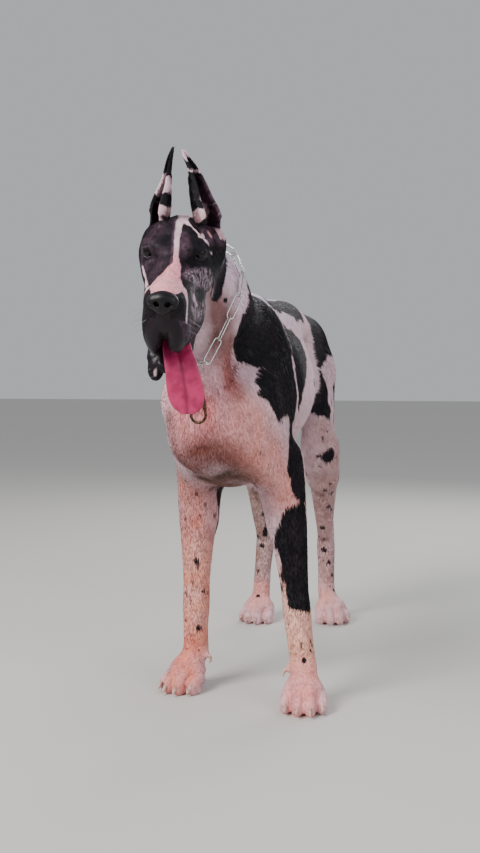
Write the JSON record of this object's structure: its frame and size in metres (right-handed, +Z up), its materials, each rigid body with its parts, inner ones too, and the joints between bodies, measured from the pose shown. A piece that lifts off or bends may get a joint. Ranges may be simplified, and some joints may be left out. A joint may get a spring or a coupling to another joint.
{
  "type": "great dane",
  "caption": "Life-size harlequin great dane standing square with cropped ears, open mouth and hanging tongue, long tail, and a long-link chain collar with a snap hook.",
  "frame": {"origin": "centre of the box round the whole dog, at the floor under its paws", "axes": "+Z up, +Y towards the tail and -Y towards the head, +X towards the dog's left side"},
  "size_m": [0.4012, 1.4346, 1.0971],
  "materials": {
    "coat": "short smooth hair, pinkish white with ragged black patches",
    "leather": "moist black nose leather",
    "eye": "wet dark brown eye",
    "tongue": "moist pink tongue",
    "steel": "worn bright steel links",
    "bronze": "darkened bronze snap hook"
  },
  "bodies": {
    "root": {"belly": "coat", "carabiner": "bronze", "chest": "coat", "collar_hanger": "steel", "collar_link_01": "steel", "collar_link_02": "steel", "collar_link_03": "steel", "collar_link_04": "steel", "collar_link_05": "steel", "collar_link_06": "steel", "collar_link_07": "steel", "collar_link_08": "steel", "collar_link_09": "steel", "collar_link_10": "steel", "collar_link_11": "steel", "collar_link_12": "steel", "collar_link_13": "steel", "collar_link_14": "steel", "ear_left": "coat", "ear_right": "coat", "eye_left": "eye", "eye_right": "eye", "foreleg_left": "coat", "foreleg_right": "coat", "forepaw_left": "coat", "forepaw_right": "coat", "head": "coat", "hindpaw_left": "coat", "hindpaw_right": "coat", "neck": "coat", "nose": "leather", "rump": "coat", "shank_left": "coat", "shank_right": "coat", "tail": "coat", "thigh_left": "coat", "thigh_right": "coat", "tongue": "tongue"}
  },
  "joints": []
}
